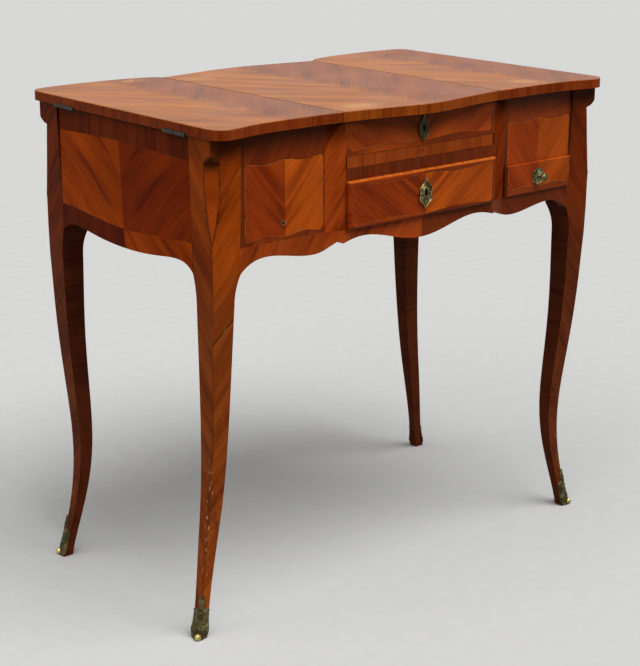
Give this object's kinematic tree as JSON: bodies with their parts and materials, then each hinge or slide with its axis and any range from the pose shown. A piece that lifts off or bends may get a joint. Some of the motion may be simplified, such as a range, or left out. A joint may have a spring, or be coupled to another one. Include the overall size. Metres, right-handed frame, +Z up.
{
  "type": "dressing table",
  "caption": "Poudreuse dressing table on cabriole legs, with outer lids over wells, a sliding mirror lid, a writing slide and drawers.",
  "frame": {"origin": "on the floor, in the middle of the table's overall width and depth", "axes": "+Z up, -Y towards the sitter, +X to the sitter's right"},
  "size_m": [0.7756, 0.4733, 0.72],
  "materials": {
    "veneer_top": "waxed tulipwood veneer, faded",
    "veneer_case": "French polished tulipwood veneer",
    "veneer_front": "French polished book-matched veneer",
    "veneer_leg": "French polished herringbone veneer, worn low down",
    "plain_wood": "plain oak, waxed",
    "bronze": "aged cast bronze",
    "lock_iron": "dark iron",
    "mirror": "silvered plate glass",
    "leather": "worn brown leather"
  },
  "bodies": {
    "case": {"leg_front_left": "veneer_leg", "leg_front_right": "veneer_leg", "leg_back_left": "veneer_leg", "leg_back_right": "veneer_leg", "shoe_front_left": "bronze", "shoe_front_right": "bronze", "shoe_back_left": "bronze", "shoe_back_right": "bronze", "side_panel_left": "veneer_case", "side_panel_right": "veneer_case", "back_panel": "veneer_case", "front_apron": "veneer_case", "front_panel_left": "veneer_front", "front_panel_right": "veneer_front", "front_stile_left": "veneer_case", "front_stile_right": "veneer_case", "lock_rail": "veneer_front", "slide_rail": "veneer_front", "divider_left": "plain_wood", "divider_right": "plain_wood", "well_floor_left": "plain_wood", "well_floor_right": "plain_wood", "small_drawer_floor": "plain_wood", "tray_floor": "plain_wood", "slide_cleats": "plain_wood", "drawer_runners": "plain_wood", "hinge_leaves_left": "lock_iron", "hinge_leaves_right": "lock_iron", "lid_key_plate": "bronze", "lid_lock_case": "lock_iron", "knob_eyelet": "bronze"},
    "left_lid": {"lid_left": "veneer_top", "lid_hinge_leaves_left": "lock_iron"},
    "right_lid": {"lid_right": "veneer_top", "lid_hinge_leaves_right": "lock_iron"},
    "carrier": {"mirror_carrier": "plain_wood", "hinge_leaves_mirror": "lock_iron"},
    "mirror_lid": {"lid_mirror": "veneer_top", "lid_mirror_clamp": "veneer_top", "lid_mirror_block": "veneer_top", "lid_hinge_leaves_mirror": "lock_iron", "mirror_glass": "mirror", "mirror_fillet": "plain_wood"},
    "writing_slide": {"slide_board": "veneer_case", "slide_lipping": "veneer_front", "slide_leather": "leather"},
    "drawer": {"drawer_front": "veneer_front", "drawer_sides": "plain_wood", "drawer_back": "plain_wood", "drawer_bottom": "plain_wood", "drawer_key_plate": "bronze", "drawer_lock_case": "lock_iron"},
    "drawer_bolt": {"drawer_lock_bolt": "lock_iron"},
    "small_drawer": {"small_drawer_front": "veneer_front", "small_drawer_sides": "plain_wood", "small_drawer_back": "plain_wood", "small_drawer_bottom": "plain_wood", "knob_rosette": "bronze", "knob": "bronze"},
    "lid_bolt": {"lid_lock_bolt": "lock_iron"}
  },
  "joints": [
    {"name": "left_lid_hinge", "type": "hinge", "parent": "case", "child": "left_lid", "pos_m": [-0.3703, 0, 0.70585], "axis": [0, -1, 0], "range_deg": [0, 180]},
    {"name": "right_lid_hinge", "type": "hinge", "parent": "case", "child": "right_lid", "pos_m": [0.3703, 0, 0.70585], "axis": [0, 1, 0], "range_deg": [0, 180]},
    {"name": "carrier_slide", "type": "slide", "parent": "case", "child": "carrier", "axis": [0, -1, 0], "range_m": [0, 0.12]},
    {"name": "mirror_hinge", "type": "hinge", "parent": "carrier", "child": "mirror_lid", "pos_m": [0, 0.209, 0.70585], "axis": [-1, 0, 0], "range_deg": [0, 100]},
    {"name": "writing_slide_pull", "type": "slide", "parent": "case", "child": "writing_slide", "axis": [0, -1, 0], "range_m": [0, 0.24]},
    {"name": "drawer_pull", "type": "slide", "parent": "case", "child": "drawer", "axis": [0, -1, 0], "range_m": [0, 0.27]},
    {"name": "drawer_bolt_throw", "type": "slide", "parent": "drawer", "child": "drawer_bolt", "axis": [0, 0, 1], "range_m": [0, 0.006]},
    {"name": "small_drawer_pull", "type": "slide", "parent": "case", "child": "small_drawer", "axis": [0, -1, 0], "range_m": [0, 0.27]},
    {"name": "lid_bolt_throw", "type": "slide", "parent": "case", "child": "lid_bolt", "axis": [0, 0, 1], "range_m": [0, 0.006]}
  ]
}
